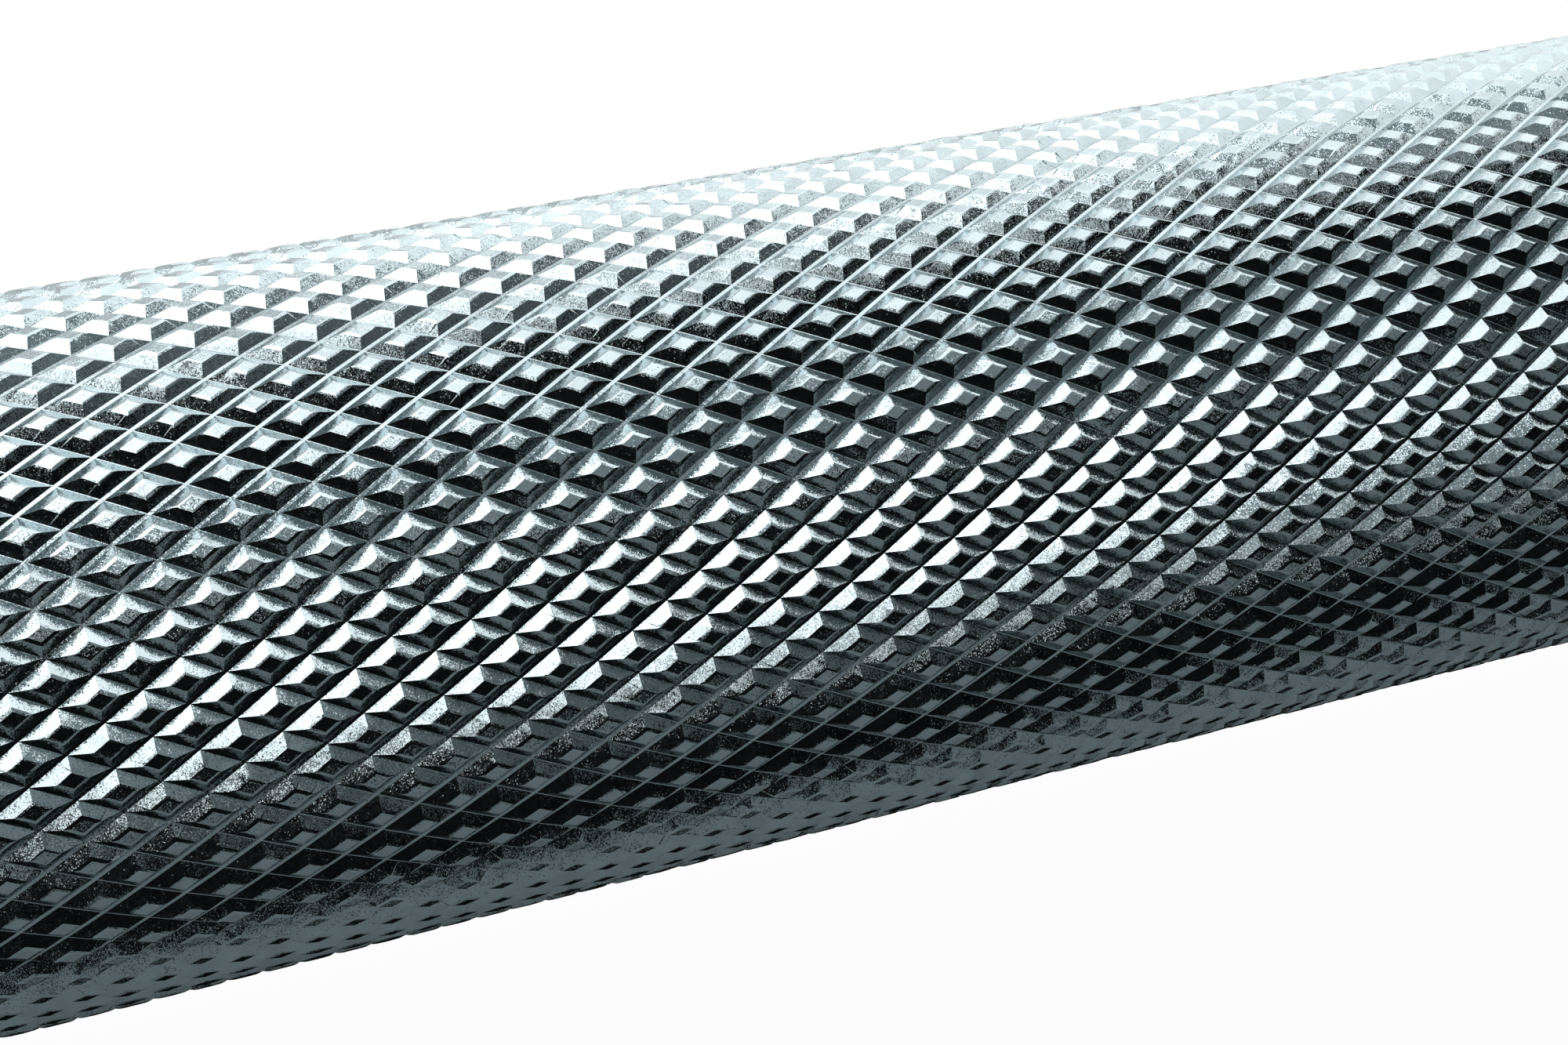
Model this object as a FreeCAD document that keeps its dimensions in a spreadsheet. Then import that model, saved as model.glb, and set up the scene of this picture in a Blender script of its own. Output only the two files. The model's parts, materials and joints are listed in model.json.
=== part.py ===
import FreeCAD
import Part
import Sketcher
import os

# Olympic barbell: one steel shaft with a revolving sleeve on each end.
# The bar lies along X with its middle at the origin, and +Z is up. Lengths are in millimetres.
# Every end piece is drawn for the right-hand end (+X); the left-hand one is the same, turned half round.

# Driving dimensions: cell alias, value, what it measures
DIMENSIONS = [
    ("collar_spacing", 1310, "between the facing sides of the two collars"),
    ("collar_width", 30, "collar, along the bar"),
    ("collar_diameter", 74, "collar, outside"),
    ("collar_rounding", 2.5, "rounding of the collar's outer edges"),
    ("load_length", 415, "sleeve length that takes the plates"),
    ("sleeve_diameter", 50, "sleeve, outside"),
    ("sleeve_chamfer", 2, "lead-in chamfer at the sleeve's outer end"),
    ("spigot_step", 2, "radial, from the sleeve down to the collar's seat"),
    ("grip_diameter", 28, "shaft, on the smooth stretches"),
    ("knurl_height", 0.15, "how far the knurl's tops stand above the smooth shaft"),
    ("mark_depth", 0.15, "how far the ring marks lie below the smooth shaft"),
    ("mark_from_collar", 195, "from the collar to its ring mark"),
    ("mark_width", 5, "ring mark, along the bar"),
    ("centre_knurl_length", 120, "knurl in the middle of the bar"),
    ("smooth_length", 150, "smooth stretch on each side of the middle knurl"),
    ("knurl_end_gap", 7, "smooth stretch between the grip knurl and the collar"),
    ("shoulder_step", 1.5, "radial, from the grip down to the journal"),
    ("shoulder_chamfer", 0.5, "edge of the shaft's shoulder"),
    ("shaft_chamfer", 1.5, "ends of the shaft"),
    ("shaft_end_gap", 5, "from the shaft's end to the end cap"),
    ("running_clearance", 0.04, "radial, journal to bushing"),
    ("middle_clearance", 1.8, "radial, journal to the sleeve's bore between the bearings"),
    ("axial_play", 0.2, "sleeve's end play at each thrust washer"),
    ("seal_step", 3, "radial, from the bearing bore out to the seal's recess"),
    ("seal_inset", 0.5, "seal's outer face below the collar's face"),
    ("seal_width", 3.5, "dust seal, along the bar"),
    ("seal_lip_width", 1.2, "the lip that runs next to the shaft"),
    ("seal_lip_depth", 2.2, "radial reach of the lip"),
    ("seal_clearance", 0.15, "radial, lip to shaft"),
    ("shoulder_setback", 1, "from the seal's recess to the shaft's shoulder"),
    ("washer_clearance", 0.1, "radial, thrust washers on the journal"),
    ("washer_gap", 0.5, "radial, thrust washers to the bore round them"),
    ("inner_washer_thickness", 2, "inner thrust washer"),
    ("outer_washer_thickness", 3, "outer thrust washer"),
    ("washer_seat", 2, "radial width of the sleeve's seat for the outer washer"),
    ("inner_bushing_length", 30, "bushing next to the collar"),
    ("outer_bushing_length", 24, "bushing next to the sleeve's end"),
    ("bushing_chamfer", 0.8, "lead-in chamfer of the bushings"),
    ("bushing_setback", 2, "outer bushing below the washer's seat"),
    ("bearing_gap", 8, "between a bushing and its bearing"),
    ("bearing_width", 20, "needle bearing, along the bar"),
    ("bearing_margin", 2, "bearing bore left beyond each bearing"),
    ("cup_wall", 0.96, "drawn cup, round the rollers"),
    ("cup_lip", 1, "turned-in ends of the drawn cup"),
    ("cup_lip_clearance", 0.6, "radial, cup lip to journal"),
    ("roller_diameter", 2.5, "needle roller"),
    ("roller_count", 16, "needle rollers in one bearing"),
    ("roller_clearance", 0.02, "radial, rollers to journal and to cup"),
    ("pocket_clearance", 0.1, "all round a roller in its cage pocket"),
    ("cage_clearance", 0.3, "cage to the cup's lips, along the bar"),
    ("cage_rim", 1.6, "cage, beyond the ends of its pockets"),
    ("cage_thickness", 1, "cage wall, about the rollers' centres"),
    ("ring_thickness", 1.2, "shaft retaining ring"),
    ("ring_groove_width", 1.3, "its groove in the shaft"),
    ("ring_groove_depth", 0.55, "depth of that groove"),
    ("ring_land", 5.4, "shaft beyond that groove"),
    ("ring_rim", 2.5, "mean radial width of both retaining rings"),
    ("ring_taper", 0.5, "how far both rings' rims widen opposite their gaps"),
    ("lug_radius", 1.9, "rounded lugs at the rings' gaps"),
    ("lug_hole_diameter", 2, "plier holes in the lugs"),
    ("ring_gap", 3, "gap between the lugs"),
    ("cap_seat", 1, "radial width of the sleeve's seat for the end cap"),
    ("cap_thickness", 6.5, "end cap, along the bar"),
    ("cap_wall", 4, "end cap, round the hollow in its back"),
    ("cap_back_depth", 3, "depth of that hollow"),
    ("cap_border", 6.5, "flat border round the end cap's dished face, with its slope"),
    ("cap_dish_depth", 0.8, "depth of the dish"),
    ("cap_dish_slope", 0.8, "sloping edge of the dish"),
    ("cap_ring_thickness", 1.5, "end cap retaining ring"),
    ("cap_groove_width", 1.6, "its groove in the sleeve"),
    ("cap_groove_depth", 1, "depth of that groove"),
    ("cap_ring_inset", 1.8, "from the sleeve's end to that groove"),
]

# Half turn about Z that sets an end piece on its own side
SIDES = {"right": 0, "left": 180}


class Size:
    """A length of the model: its value and the sheet expression that gives it."""

    def __init__(self, value, text):
        self.value = value
        self.text = text

    def __add__(self, other):
        return Size(self.value + other.value, f"({self.text} + {other.text})")

    def __sub__(self, other):
        return Size(self.value - other.value, f"({self.text} - {other.text})")

    def __neg__(self):
        return Size(-self.value, f"(-{self.text})")

    def half(self):
        return Size(self.value / 2, f"({self.text} / 2)")

    def twice(self):
        return Size(self.value * 2, f"({self.text} * 2)")


ZERO = Size(0, "0")
VALUES = {alias: value for alias, value, _ in DIMENSIONS}

doc = FreeCAD.newDocument("OlympicBarbell")
sheet = doc.addObject("Spreadsheet::Sheet", "Sizes")
for row, (alias, value, meaning) in enumerate(DIMENSIONS, start=1):
    sheet.set(f"A{row}", meaning)
    sheet.set(f"B{row}", str(value))
    sheet.setAlias(f"B{row}", alias)
doc.recompute()


def size(alias):
    return Size(VALUES[alias], f"Sizes.{alias}")


# Radii, from the shaft outwards
GRIP = size("grip_diameter").half()
JOURNAL = GRIP - size("shoulder_step")
ROLLER = size("roller_diameter").half()
ROLLER_CIRCLE = JOURNAL + size("roller_clearance") + ROLLER
RACEWAY = ROLLER_CIRCLE + ROLLER + size("roller_clearance")
BORE = RACEWAY + size("cup_wall")
MIDDLE_BORE = JOURNAL + size("middle_clearance")
CHAMBER = BORE + size("washer_seat")
CAP = CHAMBER + size("cap_seat")
CAP_GROOVE = CAP + size("cap_groove_depth")
SHAFT_GROOVE = JOURNAL - size("ring_groove_depth")
SEAL = BORE + size("seal_step")
SLEEVE = size("sleeve_diameter").half()
SPIGOT = SLEEVE - size("spigot_step")
COLLAR = size("collar_diameter").half()

# Stations along the right-hand half of the bar: inner ones from the collar, outer ones from the sleeve's end
COLLAR_FACE = size("collar_spacing").half()
LOAD_FACE = COLLAR_FACE + size("collar_width")
SLEEVE_END = LOAD_FACE + size("load_length")
SEAL_SEAT = COLLAR_FACE + size("seal_inset") + size("seal_width")
SHOULDER = SEAL_SEAT + size("shoulder_setback")
INNER_WASHER_END = SHOULDER + size("inner_washer_thickness")
INNER_BUSHING_START = INNER_WASHER_END + size("axial_play")
INNER_BUSHING_END = INNER_BUSHING_START + size("inner_bushing_length")
INNER_BEARING_START = INNER_BUSHING_END + size("bearing_gap")
CAP_GROOVE_END = SLEEVE_END - size("cap_ring_inset")
CAP_FACE = CAP_GROOVE_END - size("cap_groove_width")
CAP_SEAT = CAP_FACE - size("cap_thickness")
SHAFT_END = CAP_SEAT - size("shaft_end_gap")
RING_GROOVE_END = SHAFT_END - size("ring_land")
RING_START = RING_GROOVE_END - size("ring_groove_width")
OUTER_WASHER_START = RING_START - size("outer_washer_thickness")
OUTER_WASHER_SEAT = OUTER_WASHER_START - size("axial_play")
OUTER_BUSHING_END = OUTER_WASHER_SEAT - size("bushing_setback")
OUTER_BUSHING_START = OUTER_BUSHING_END - size("outer_bushing_length")
OUTER_BEARING_START = OUTER_BUSHING_START - size("bearing_gap") - size("bearing_width")
BEARING_STARTS = {"inner": INNER_BEARING_START, "outer": OUTER_BEARING_START}

# Room at each end of a bearing before its rollers
CAGE_ROOM = size("cup_lip") + size("cage_clearance")
ROLLER_ROOM = CAGE_ROOM + size("cage_rim") + size("pocket_clearance")
ROLLER_LENGTH = size("bearing_width") - ROLLER_ROOM.twice()


def origin_feature(body, role):
    return next(feature for feature in body.Origin.OriginFeatures if feature.Role == role)


def new_body(name, side):
    body = doc.addObject("PartDesign::Body", name)
    body.Label = name
    body.Placement = FreeCAD.Placement(
        FreeCAD.Vector(0, 0, 0),
        FreeCAD.Rotation(FreeCAD.Vector(0, 0, 1), SIDES[side]),
    )
    return body


def new_sketch(body, name, plane):
    sketch = body.newObject("Sketcher::SketchObject", f"{body.Name}_{name}")
    sketch.AttachmentSupport = [(origin_feature(body, plane), "")]
    sketch.MapMode = "FlatFace"
    return sketch


def place_point(sketch, geometry, point, x, y):
    """Sets a sketch point's coordinates from the origin; None leaves one to another constraint."""
    root = (-1, 1)
    for kind, axis, coordinate in (("DistanceX", -2, x), ("DistanceY", -1, y)):
        if coordinate is None:
            continue
        if coordinate.text == ZERO.text:
            sketch.addConstraint(Sketcher.Constraint("PointOnObject", geometry, point, axis))
            continue
        ends = [root, (geometry, point)]
        if coordinate.value < 0:
            ends.reverse()
            coordinate = -coordinate
        index = sketch.addConstraint(Sketcher.Constraint(kind, *ends[0], *ends[1], coordinate.value))
        sketch.setExpression(f"Constraints[{index}]", coordinate.text)


def draw_outline(sketch, corners):
    """Draws a closed outline of straight lines; square runs are held level or upright."""
    first = len(sketch.Geometry)
    count = len(corners)
    points = [FreeCAD.Vector(x.value, y.value, 0) for x, y in corners]
    for index in range(count):
        sketch.addGeometry(Part.LineSegment(points[index], points[(index + 1) % count]), False)
    for index in range(count):
        line = first + index
        following = first + (index + 1) % count
        sketch.addConstraint(Sketcher.Constraint("Coincident", line, 2, following, 1))
    for index, (x, y) in enumerate(corners):
        if index > 0:
            before_x, before_y = corners[index - 1]
            before_line = first + index - 1
            if x.text == before_x.text:
                sketch.addConstraint(Sketcher.Constraint("Vertical", before_line))
                x = None
            elif y.text == before_y.text:
                sketch.addConstraint(Sketcher.Constraint("Horizontal", before_line))
                y = None
        place_point(sketch, first + index, 1, x, y)


def draw_circle(sketch, centre_x, centre_y, circle_radius):
    centre = FreeCAD.Vector(centre_x.value, centre_y.value, 0)
    normal = FreeCAD.Vector(0, 0, 1)
    circle = sketch.addGeometry(Part.Circle(centre, normal, circle_radius.value), False)
    index = sketch.addConstraint(Sketcher.Constraint("Radius", circle, circle_radius.value))
    sketch.setExpression(f"Constraints[{index}]", circle_radius.text)
    place_point(sketch, circle, 3, centre_x, centre_y)


def turn(body, corners):
    """Revolves an outline of (station along the bar, radius) corners about the bar's axis."""
    sketch = new_sketch(body, "profile", "XZ_Plane")
    draw_outline(sketch, corners)
    turned = body.newObject("PartDesign::Revolution", f"{body.Name}_turned")
    turned.Profile = sketch
    turned.ReferenceAxis = (sketch, ["H_Axis"])
    turned.Angle = 360
    return turned


def turned_piece(name, side, corners):
    body = new_body(name, side)
    turn(body, corners)
    return body


def ring_corners(start, end, inside, outside):
    return [(start, inside), (start, outside), (end, outside), (end, inside)]


def extrude(body, kind, sketch, length):
    feature = body.newObject(kind, f"{sketch.Name}_{kind.split('::')[1].lower()}")
    feature.Profile = sketch
    feature.setExpression("Length", length.text)
    return feature


def cut_forwards(body, sketch, depth):
    """Pockets along the sketch's own normal, and makes sure that metal was taken away."""
    doc.recompute()
    before = body.Shape.Volume
    pocket = extrude(body, "PartDesign::Pocket", sketch, depth)
    pocket.Reversed = True
    doc.recompute()
    if pocket.Shape.Volume >= before:
        raise RuntimeError(f"{sketch.Name} cuts nothing")
    return pocket


def repeat_round(body, feature, count):
    pattern = body.newObject("PartDesign::PolarPattern", f"{feature.Name}_round")
    pattern.Originals = [feature]
    pattern.Axis = (origin_feature(body, "X_Axis"), [""])
    pattern.Angle = 360
    pattern.setExpression("Occurrences", count.text)
    body.Tip = pattern


def rim_edges(shape, rim_radius):
    """Names of the round edges of one radius."""
    names = []
    for index, edge in enumerate(shape.Edges, start=1):
        if not isinstance(edge.Curve, Part.Circle):
            continue
        if abs(edge.Curve.Radius - rim_radius.value) < Part.Precision.confusion():
            names.append(f"Edge{index}")
    return names


def make_shaft():
    """Shaft: half of it is turned from one profile, and mirrored about the bar's middle."""
    body = new_body("shaft", "right")
    knurl = GRIP + size("knurl_height")
    mark = GRIP - size("mark_depth")
    centre_knurl_end = size("centre_knurl_length").half()
    grip_start = centre_knurl_end + size("smooth_length")
    mark_end = COLLAR_FACE - size("mark_from_collar")
    mark_start = mark_end - size("mark_width")
    grip_end = COLLAR_FACE - size("knurl_end_gap")
    half = turn(body, [
        (ZERO, ZERO),
        (ZERO, knurl),
        (centre_knurl_end, knurl),
        (centre_knurl_end, GRIP),
        (grip_start, GRIP),
        (grip_start, knurl),
        (mark_start, knurl),
        (mark_start, mark),
        (mark_end, mark),
        (mark_end, knurl),
        (grip_end, knurl),
        (grip_end, GRIP),
        (SHOULDER - size("shoulder_chamfer"), GRIP),
        (SHOULDER, GRIP - size("shoulder_chamfer")),
        (SHOULDER, JOURNAL),
        (RING_START, JOURNAL),
        (RING_START, SHAFT_GROOVE),
        (RING_GROOVE_END, SHAFT_GROOVE),
        (RING_GROOVE_END, JOURNAL),
        (SHAFT_END - size("shaft_chamfer"), JOURNAL),
        (SHAFT_END, JOURNAL - size("shaft_chamfer")),
        (SHAFT_END, ZERO),
    ])
    whole = body.newObject("PartDesign::Mirrored", "shaft_whole")
    whole.Originals = [half]
    whole.MirrorPlane = (origin_feature(body, "YZ_Plane"), [""])
    body.Tip = whole
    return body


def make_sleeve(side):
    """Sleeve: spigot for the collar, bored from both ends for the bearings, with a cap seat at its end."""
    seat_end = INNER_BEARING_START + size("bearing_width") + size("bearing_margin")
    seat_start = OUTER_BEARING_START - size("bearing_margin")
    return turned_piece(f"{side}_sleeve", side, [
        (COLLAR_FACE, SEAL),
        (COLLAR_FACE, SPIGOT),
        (LOAD_FACE, SPIGOT),
        (LOAD_FACE, SLEEVE),
        (SLEEVE_END - size("sleeve_chamfer"), SLEEVE),
        (SLEEVE_END, SLEEVE - size("sleeve_chamfer")),
        (SLEEVE_END, CAP),
        (CAP_GROOVE_END, CAP),
        (CAP_GROOVE_END, CAP_GROOVE),
        (CAP_FACE, CAP_GROOVE),
        (CAP_FACE, CAP),
        (CAP_SEAT, CAP),
        (CAP_SEAT, CHAMBER),
        (OUTER_WASHER_SEAT, CHAMBER),
        (OUTER_WASHER_SEAT, BORE),
        (seat_start, BORE),
        (seat_start, MIDDLE_BORE),
        (seat_end, MIDDLE_BORE),
        (seat_end, BORE),
        (SEAL_SEAT, BORE),
        (SEAL_SEAT, SEAL),
    ])


def make_collar(side):
    """Collar: a stop ring pressed on the sleeve's spigot, with both outer edges rounded."""
    body = new_body(f"{side}_collar", side)
    ring = turn(body, ring_corners(COLLAR_FACE, LOAD_FACE, SPIGOT, COLLAR))
    doc.recompute()
    rounding = body.newObject("PartDesign::Fillet", f"{body.Name}_rounding")
    rounding.Base = (ring, rim_edges(ring.Shape, COLLAR))
    rounding.setExpression("Radius", size("collar_rounding").text)
    return body


def make_dust_seal(side):
    """Dust seal: pressed in the sleeve's mouth, with a thin lip that runs next to the shaft."""
    start = COLLAR_FACE + size("seal_inset")
    lip = GRIP + size("seal_clearance")
    root = lip + size("seal_lip_depth")
    lip_end = start + size("seal_lip_width")
    return turned_piece(f"{side}_dust_seal", side, [
        (start, lip),
        (start, SEAL),
        (SEAL_SEAT, SEAL),
        (SEAL_SEAT, root),
        (lip_end, root),
        (lip_end, lip),
    ])


def make_washers(side):
    bore = JOURNAL + size("washer_clearance")
    inner = ring_corners(SHOULDER, INNER_WASHER_END, bore, BORE - size("washer_gap"))
    outer = ring_corners(OUTER_WASHER_START, RING_START, bore, CHAMBER - size("washer_gap"))
    return [
        turned_piece(f"{side}_inner_thrust_washer", side, inner),
        turned_piece(f"{side}_outer_thrust_washer", side, outer),
    ]


def make_bushing(side, name, start, end):
    """Bushing: a plain bronze sleeve pressed in the bore, chamfered where it goes in."""
    bore = JOURNAL + size("running_clearance")
    chamfer = size("bushing_chamfer")
    return turned_piece(f"{side}_{name}_bushing", side, [
        (start, bore),
        (start, BORE - chamfer),
        (start + chamfer, BORE),
        (end - chamfer, BORE),
        (end, BORE - chamfer),
        (end, bore),
    ])


def make_cup(side, name, start):
    """Drawn cup: a thin shell pressed in the bore, its ends turned in to keep the cage."""
    end = start + size("bearing_width")
    lip = JOURNAL + size("cup_lip_clearance")
    lip_start = start + size("cup_lip")
    lip_end = end - size("cup_lip")
    return turned_piece(f"{side}_{name}_bearing_cup", side, [
        (start, lip),
        (start, BORE),
        (end, BORE),
        (end, lip),
        (lip_end, lip),
        (lip_end, RACEWAY),
        (lip_start, RACEWAY),
        (lip_start, lip),
    ])


def make_cage(side, name, start):
    """Cage: a thin ring with one window for each roller."""
    body = new_body(f"{side}_{name}_bearing_cage", side)
    end = start + size("bearing_width")
    half_wall = size("cage_thickness").half()
    inside = ROLLER_CIRCLE - half_wall
    outside = ROLLER_CIRCLE + half_wall
    turn(body, ring_corners(start + CAGE_ROOM, end - CAGE_ROOM, inside, outside))
    window_start = start + ROLLER_ROOM - size("pocket_clearance")
    window_end = end - ROLLER_ROOM + size("pocket_clearance")
    half_width = ROLLER + size("pocket_clearance")
    window = new_sketch(body, "window", "XY_Plane")
    draw_outline(window, [
        (window_start, -half_width),
        (window_end, -half_width),
        (window_end, half_width),
        (window_start, half_width),
    ])
    pocket = cut_forwards(body, window, RACEWAY)
    repeat_round(body, pocket, size("roller_count"))
    return body


def make_rollers(side, name, start):
    """Rollers: one needle padded on the roller circle and repeated round the journal."""
    body = new_body(f"{side}_{name}_bearing_rollers", side)
    body.AllowCompound = True
    section = new_sketch(body, "section", "YZ_Plane")
    section.setExpression(".AttachmentOffset.Base.z", (start + ROLLER_ROOM).text)
    draw_circle(section, ZERO, ROLLER_CIRCLE, ROLLER)
    needle = extrude(body, "PartDesign::Pad", section, ROLLER_LENGTH)
    repeat_round(body, needle, size("roller_count"))
    return body


def make_retaining_ring(name, side, start, thickness, rim_circles, lug_height):
    """Retaining ring: a rim that thins towards its gap, with a lug and a plier hole at each end."""
    body = new_body(name, side)
    half_gap = size("ring_gap").half()
    lug_place = half_gap + size("lug_radius")

    def ring_sketch(part):
        sketch = new_sketch(body, part, "YZ_Plane")
        sketch.setExpression(".AttachmentOffset.Base.z", start.text)
        return sketch

    rim = ring_sketch("rim")
    for centre, circle_radius in rim_circles:
        draw_circle(rim, ZERO, centre, circle_radius)
    extrude(body, "PartDesign::Pad", rim, thickness)

    lugs = ring_sketch("lugs")
    for place in (lug_place, -lug_place):
        draw_circle(lugs, place, lug_height, size("lug_radius"))
    extrude(body, "PartDesign::Pad", lugs, thickness)

    gap = ring_sketch("gap")
    gap_top = lug_height + size("lug_radius") + size("ring_rim")
    draw_outline(gap, [
        (-half_gap, ZERO),
        (half_gap, ZERO),
        (half_gap, gap_top),
        (-half_gap, gap_top),
    ])
    cut_forwards(body, gap, thickness)

    holes = ring_sketch("holes")
    for place in (lug_place, -lug_place):
        draw_circle(holes, place, lug_height, size("lug_hole_diameter").half())
    cut_forwards(body, holes, thickness)
    return body


def make_shaft_ring(side):
    """The ring in the shaft's groove grips inwards, so its lugs stand outwards."""
    outside = SHAFT_GROOVE + size("ring_rim")
    rim_circles = [(-size("ring_taper"), outside), (ZERO, SHAFT_GROOVE)]
    name = f"{side}_shaft_retaining_ring"
    return make_retaining_ring(name, side, RING_START, size("ring_thickness"), rim_circles, outside)


def make_cap_ring(side):
    """The ring in the sleeve's groove presses outwards, so its lugs stand inwards."""
    inside = CAP_GROOVE - size("ring_rim")
    rim_circles = [(ZERO, CAP_GROOVE), (size("ring_taper"), inside)]
    lug_height = inside - size("lug_radius").half()
    name = f"{side}_cap_retaining_ring"
    return make_retaining_ring(name, side, CAP_FACE, size("cap_ring_thickness"), rim_circles, lug_height)


def make_end_cap(side):
    """End cap: a disc pressed in the sleeve's end, hollow behind and dished in front."""
    back = CAP - size("cap_wall")
    border = CAP - size("cap_border")
    back_face = CAP_SEAT + size("cap_back_depth")
    dish_face = CAP_FACE - size("cap_dish_depth")
    return turned_piece(f"{side}_end_cap", side, [
        (back_face, ZERO),
        (back_face, back),
        (CAP_SEAT, back),
        (CAP_SEAT, CAP),
        (CAP_FACE, CAP),
        (CAP_FACE, border + size("cap_dish_slope")),
        (dish_face, border),
        (dish_face, ZERO),
    ])


def make_end(side):
    pieces = [make_sleeve(side), make_collar(side), make_dust_seal(side), *make_washers(side)]
    pieces.append(make_bushing(side, "inner", INNER_BUSHING_START, INNER_BUSHING_END))
    pieces.append(make_bushing(side, "outer", OUTER_BUSHING_START, OUTER_BUSHING_END))
    for name, start in BEARING_STARTS.items():
        pieces.append(make_cup(side, name, start))
        pieces.append(make_cage(side, name, start))
        pieces.append(make_rollers(side, name, start))
    pieces += [make_shaft_ring(side), make_end_cap(side), make_cap_ring(side)]
    return pieces


def main():
    pieces = [make_shaft()]
    for side in SIDES:
        pieces += make_end(side)
    doc.recompute()

    for item in doc.Objects:
        if "Invalid" in item.State or "Error" in item.State:
            raise RuntimeError(f"{item.Label} failed: {item.State}")
    for piece in pieces:
        if piece.Shape.isNull() or not piece.Shape.isValid():
            raise RuntimeError(f"{piece.Label} has no valid shape")

    os.makedirs("parts", exist_ok=True)
    for piece in pieces:
        piece.Shape.exportStep(f"parts/{piece.Label}.step")
        print(f"{piece.Label}: {len(piece.Shape.Solids)} solids, {piece.Shape.Volume:.0f} mm3")


main()
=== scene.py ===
# Looks of the olympic barbell: the cut knurl, the turned and plated pieces, and a white studio.
import json
import math

import bpy
import numpy as np
from mathutils import Euler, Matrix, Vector


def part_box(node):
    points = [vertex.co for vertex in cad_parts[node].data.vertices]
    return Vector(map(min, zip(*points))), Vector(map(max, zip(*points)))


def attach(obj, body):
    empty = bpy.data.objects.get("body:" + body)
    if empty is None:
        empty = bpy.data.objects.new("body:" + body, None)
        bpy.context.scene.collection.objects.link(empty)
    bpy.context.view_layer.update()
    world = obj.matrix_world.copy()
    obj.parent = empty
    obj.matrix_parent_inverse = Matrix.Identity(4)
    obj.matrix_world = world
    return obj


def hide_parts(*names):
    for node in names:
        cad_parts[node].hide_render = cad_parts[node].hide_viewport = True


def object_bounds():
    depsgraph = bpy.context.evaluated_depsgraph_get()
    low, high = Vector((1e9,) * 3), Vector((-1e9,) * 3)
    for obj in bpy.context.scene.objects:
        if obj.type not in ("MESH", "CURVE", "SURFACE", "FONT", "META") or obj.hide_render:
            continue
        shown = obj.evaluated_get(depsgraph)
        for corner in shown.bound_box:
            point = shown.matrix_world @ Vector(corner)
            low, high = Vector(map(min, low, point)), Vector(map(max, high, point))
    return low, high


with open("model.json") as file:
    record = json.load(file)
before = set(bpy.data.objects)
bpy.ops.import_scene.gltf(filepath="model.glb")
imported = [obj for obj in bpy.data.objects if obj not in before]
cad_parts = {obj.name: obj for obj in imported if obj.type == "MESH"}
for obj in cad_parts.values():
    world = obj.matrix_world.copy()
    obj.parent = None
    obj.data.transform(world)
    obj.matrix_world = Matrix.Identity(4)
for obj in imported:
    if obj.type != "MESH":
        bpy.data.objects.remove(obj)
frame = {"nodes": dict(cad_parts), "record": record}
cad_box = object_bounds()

MM = 0.001
SIDES = ("left", "right")

# Knurl: 52 grooves of each hand, crossing at about 62 degrees, with flat-topped diamonds between them
GROOVES = 52
RING_STEP = 1.418 * MM
KNURL_TURN = math.radians(2.0)
GRIP_DEPTH = 0.34 * MM
CENTRE_DEPTH = 0.30 * MM
RUN_OUT = 1.6 * MM
BAND_NAMES = ("left_outer", "left_inner", "centre", "right_inner", "right_outer")

# Lines of a diamond from the middle of a groove inwards: share of its width for each hand, and of its height
FINE_LINES = (
    (0.0, 0.0, 0.0),
    (0.045, 0.010, 0.0),
    (0.275, 0.255, 0.85),
    (0.32, 0.30, 0.955),
    (0.36, 0.345, 1.0),
)
PLAIN_LINES = (
    (0.0, 0.0, 0.0),
    (0.34, 0.32, 1.0),
)

# Shares of a diamond: how far its top leans, how much its corners and its top vary, and where the top starts
TOP_LEAN = 0.035
CUT_WANDER = 0.0035
TOP_SPREAD = 0.02
TOP_START = 0.9
CUT_SEED = 11

# The grip's stretch that the camera sees close up, cut finely, in pieces of this many rings
CLOSE_UP = (0.2915, 0.3765)
RINGS_A_PIECE = 15

# Turned pieces: their sides and rounded edges. A rounding takes at most a share of the straight beside it
ROUND_SIDES = 160
EDGE_BREAK = 0.25 * MM
COLLAR_ROUNDING = 2.5 * MM
ROUND_STEPS = 4
ROUND_SHARE = 0.4
STRAIGHT_HALF_ANGLE = math.radians(85)

# Points of an outline that agree to this many decimals of a metre are one
OUTLINE_DIGITS = 6

# Angles over which an edge is sharp
CREASE = math.radians(24)
KNURL_CREASE = math.radians(9)

# Layout of a piece's map: the room that the wrapped surface leaves, and the end discs beside it
WRAP_WIDTH = 0.7
WRAP_ROOM = 1.6
DISC_ACROSS = 0.85
DISC_UP = (0.25, 0.75)
DISC_RADIUS = 0.12
KNURL_WRAP_ROOM = 1.05

# Camera: not tilted sideways, looking down and to the right at the grip
LENS = 50.9
SENSOR = 36.0
NEAR_CLIP = 5 * MM
CAMERA_PLACE = Vector((0.30289, -0.07366, 0.05509))
CAMERA_PITCH = math.radians(35.70)
CAMERA_TURN = math.radians(19.89)


def new_object(name, data):
    """An object of that mesh, lamp or camera in the scene."""
    thing = bpy.data.objects.new(name, data)
    bpy.context.scene.collection.objects.link(thing)
    return thing


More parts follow.
